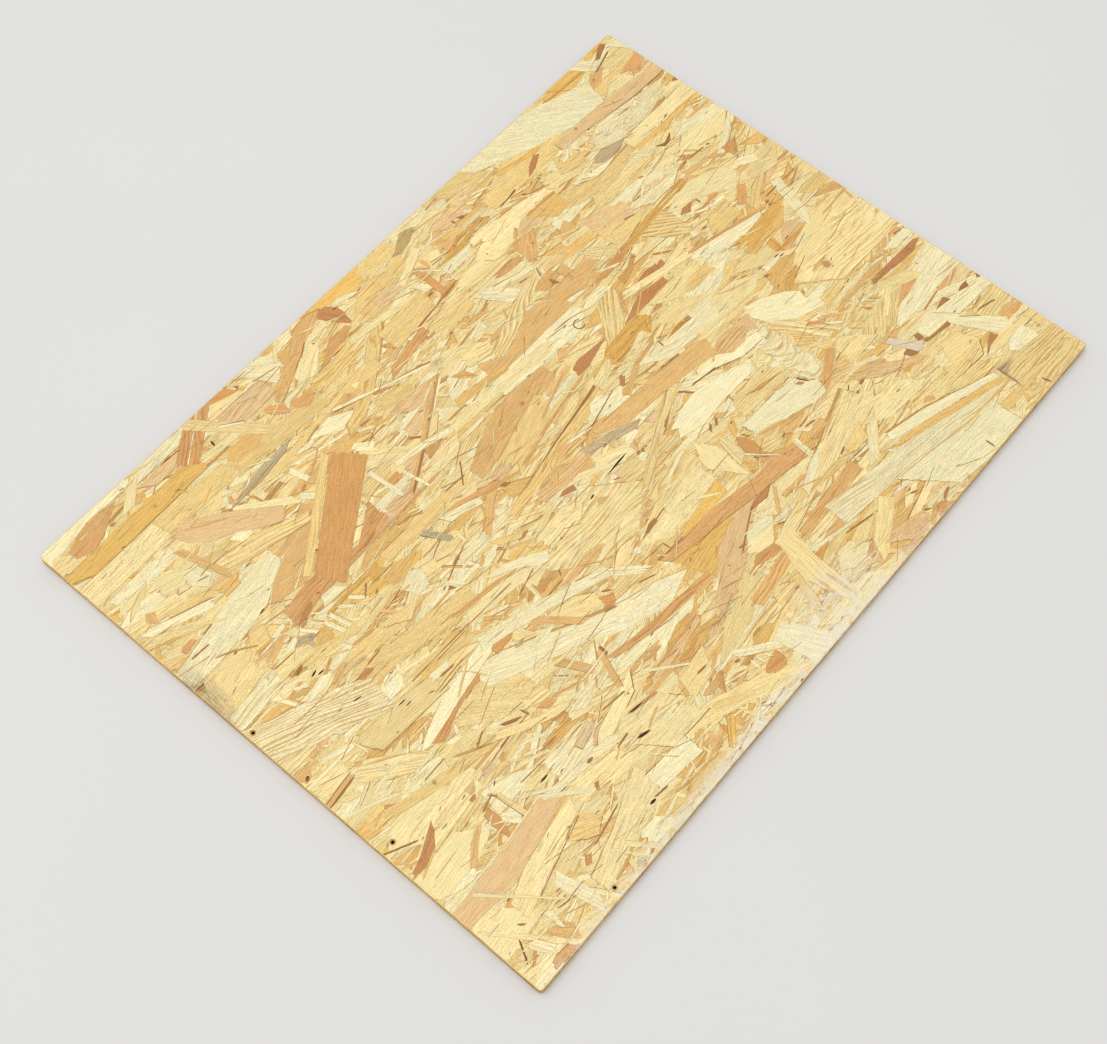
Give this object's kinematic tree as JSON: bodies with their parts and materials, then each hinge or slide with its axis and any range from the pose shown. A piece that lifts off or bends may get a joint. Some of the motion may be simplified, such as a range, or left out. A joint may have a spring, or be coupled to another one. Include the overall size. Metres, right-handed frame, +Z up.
{
  "type": "oriented strand board offcut",
  "caption": "Rectangular sawn piece of oriented strand board with worn corners, open gaps between its strands and a few nail holes.",
  "frame": {"origin": "middle of the underside", "axes": "+X along the long side, +Y along the short side, +Z up out of the face that shows"},
  "size_m": [0.8, 0.6, 0.011],
  "materials": {
    "strand_board": "raw pressed softwood strands, light straw colour with tan, honey and red-brown strands, matt with a thin resin sheen"
  },
  "bodies": {
    "root": {"osb_board": "strand_board"}
  },
  "joints": []
}
